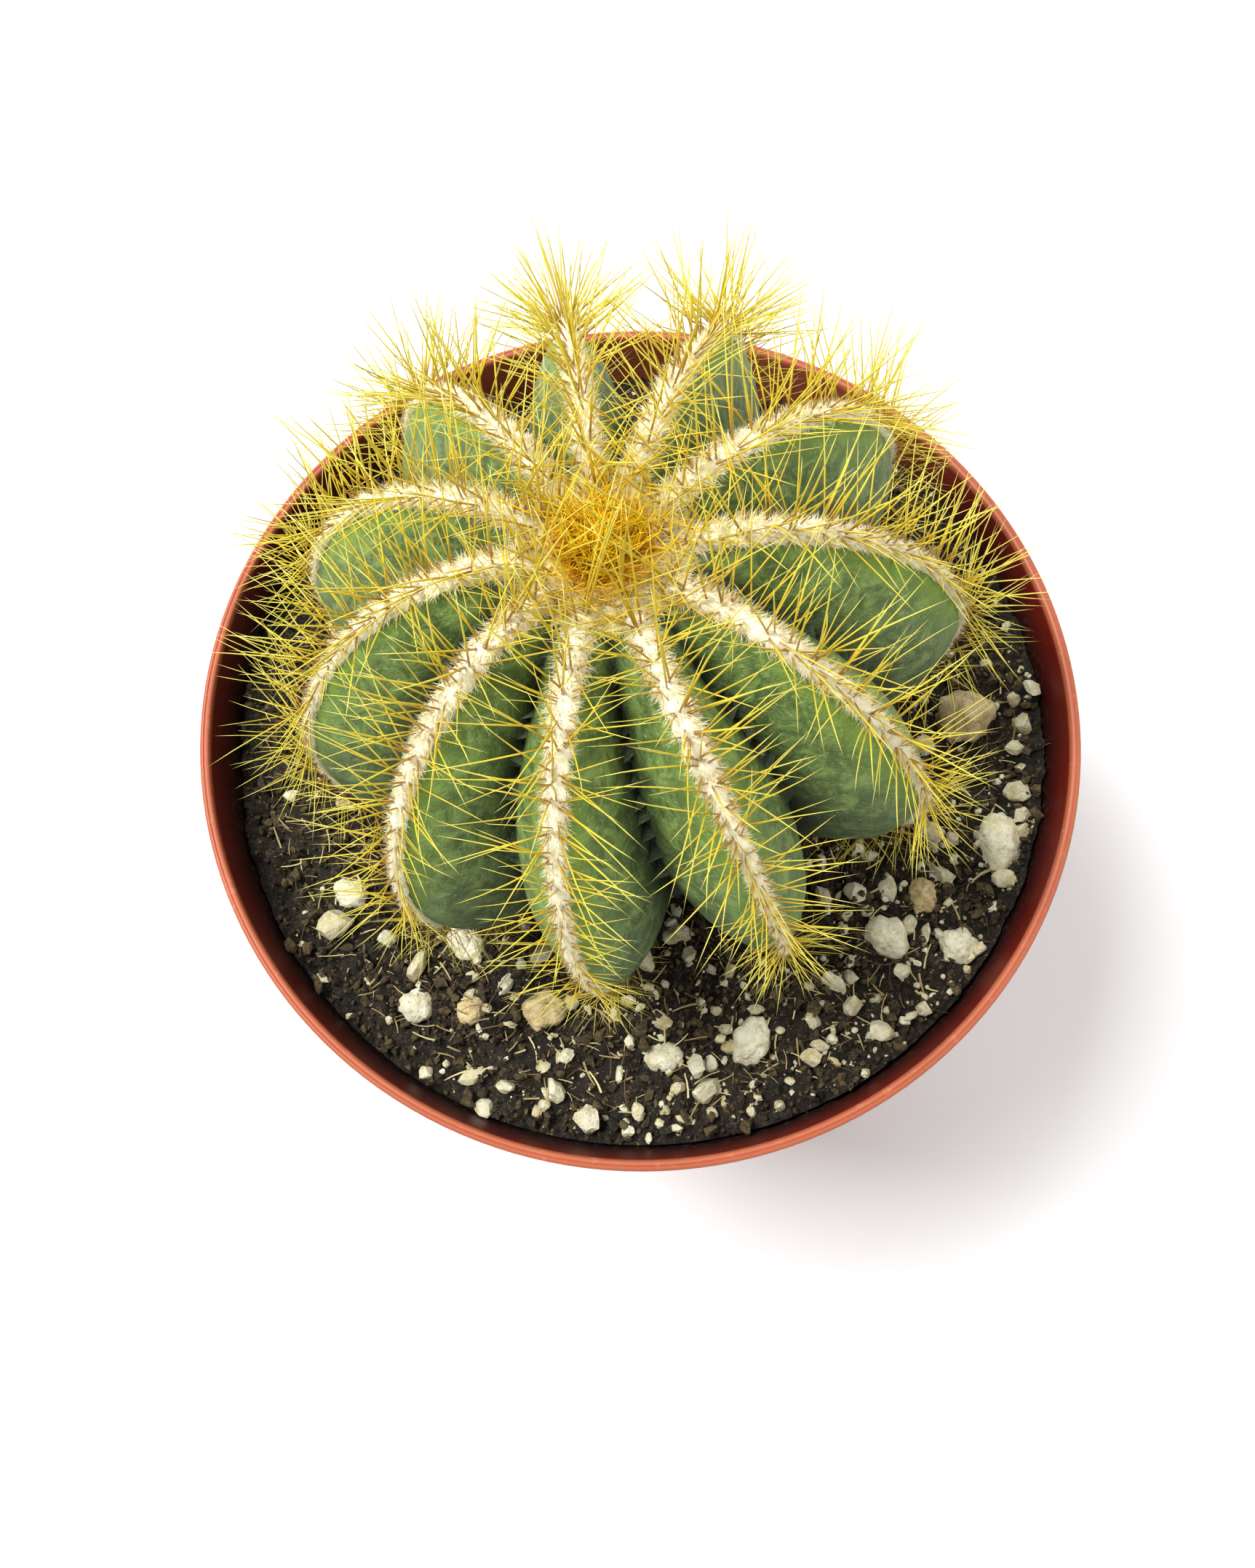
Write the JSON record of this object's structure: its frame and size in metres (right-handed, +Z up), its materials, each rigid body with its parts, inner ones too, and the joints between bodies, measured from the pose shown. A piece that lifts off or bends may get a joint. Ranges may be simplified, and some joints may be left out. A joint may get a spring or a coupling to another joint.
{
  "type": "potted round cactus",
  "caption": "Round ribbed cactus with a woolly, bristly crest on every rib, standing in perlite potting soil in a tapered plastic nursery pot with a collared rim.",
  "frame": {"origin": "centre of the pot's foot ring, on the surface it stands on", "axes": "+Z up along the pot's axis; -Y towards the viewer; +X to the viewer's right"},
  "size_m": [0.105, 0.105, 0.1386],
  "materials": {
    "pot_plastic": "smooth terracotta-coloured polypropylene with a satin sheen",
    "potting_soil": "dark peat, fibrous and matte",
    "cactus_skin": "waxy blue-green skin with a faint bloom",
    "wool": "cream felt of fine hairs",
    "spine": "golden, translucent bristles with pale tips",
    "perlite_white": "off-white, porous and matte",
    "perlite_tan": "tan, soil-stained and matte"
  },
  "bodies": {
    "root": {"pot": "pot_plastic", "soil": "potting_soil", "cactus_body": "cactus_skin", "crown_wool": "wool", "crown_spines": "spine", "wool_rib_01": "wool", "wool_rib_02": "wool", "wool_rib_03": "wool", "wool_rib_04": "wool", "wool_rib_05": "wool", "wool_rib_06": "wool", "wool_rib_07": "wool", "wool_rib_08": "wool", "wool_rib_09": "wool", "wool_rib_10": "wool", "wool_rib_11": "wool", "spines_rib_01": "spine", "spines_rib_02": "spine", "spines_rib_03": "spine", "spines_rib_04": "spine", "spines_rib_05": "spine", "spines_rib_06": "spine", "spines_rib_07": "spine", "spines_rib_08": "spine", "spines_rib_09": "spine", "spines_rib_10": "spine", "spines_rib_11": "spine", "perlite_01": "perlite_tan", "perlite_02": "perlite_white", "perlite_03": "perlite_white", "perlite_04": "perlite_white", "perlite_05": "perlite_white", "perlite_06": "perlite_tan", "perlite_07": "perlite_tan", "perlite_08": "perlite_white", "perlite_09": "perlite_white", "perlite_10": "perlite_tan", "perlite_11": "perlite_white", "perlite_12": "perlite_white"}
  },
  "joints": []
}
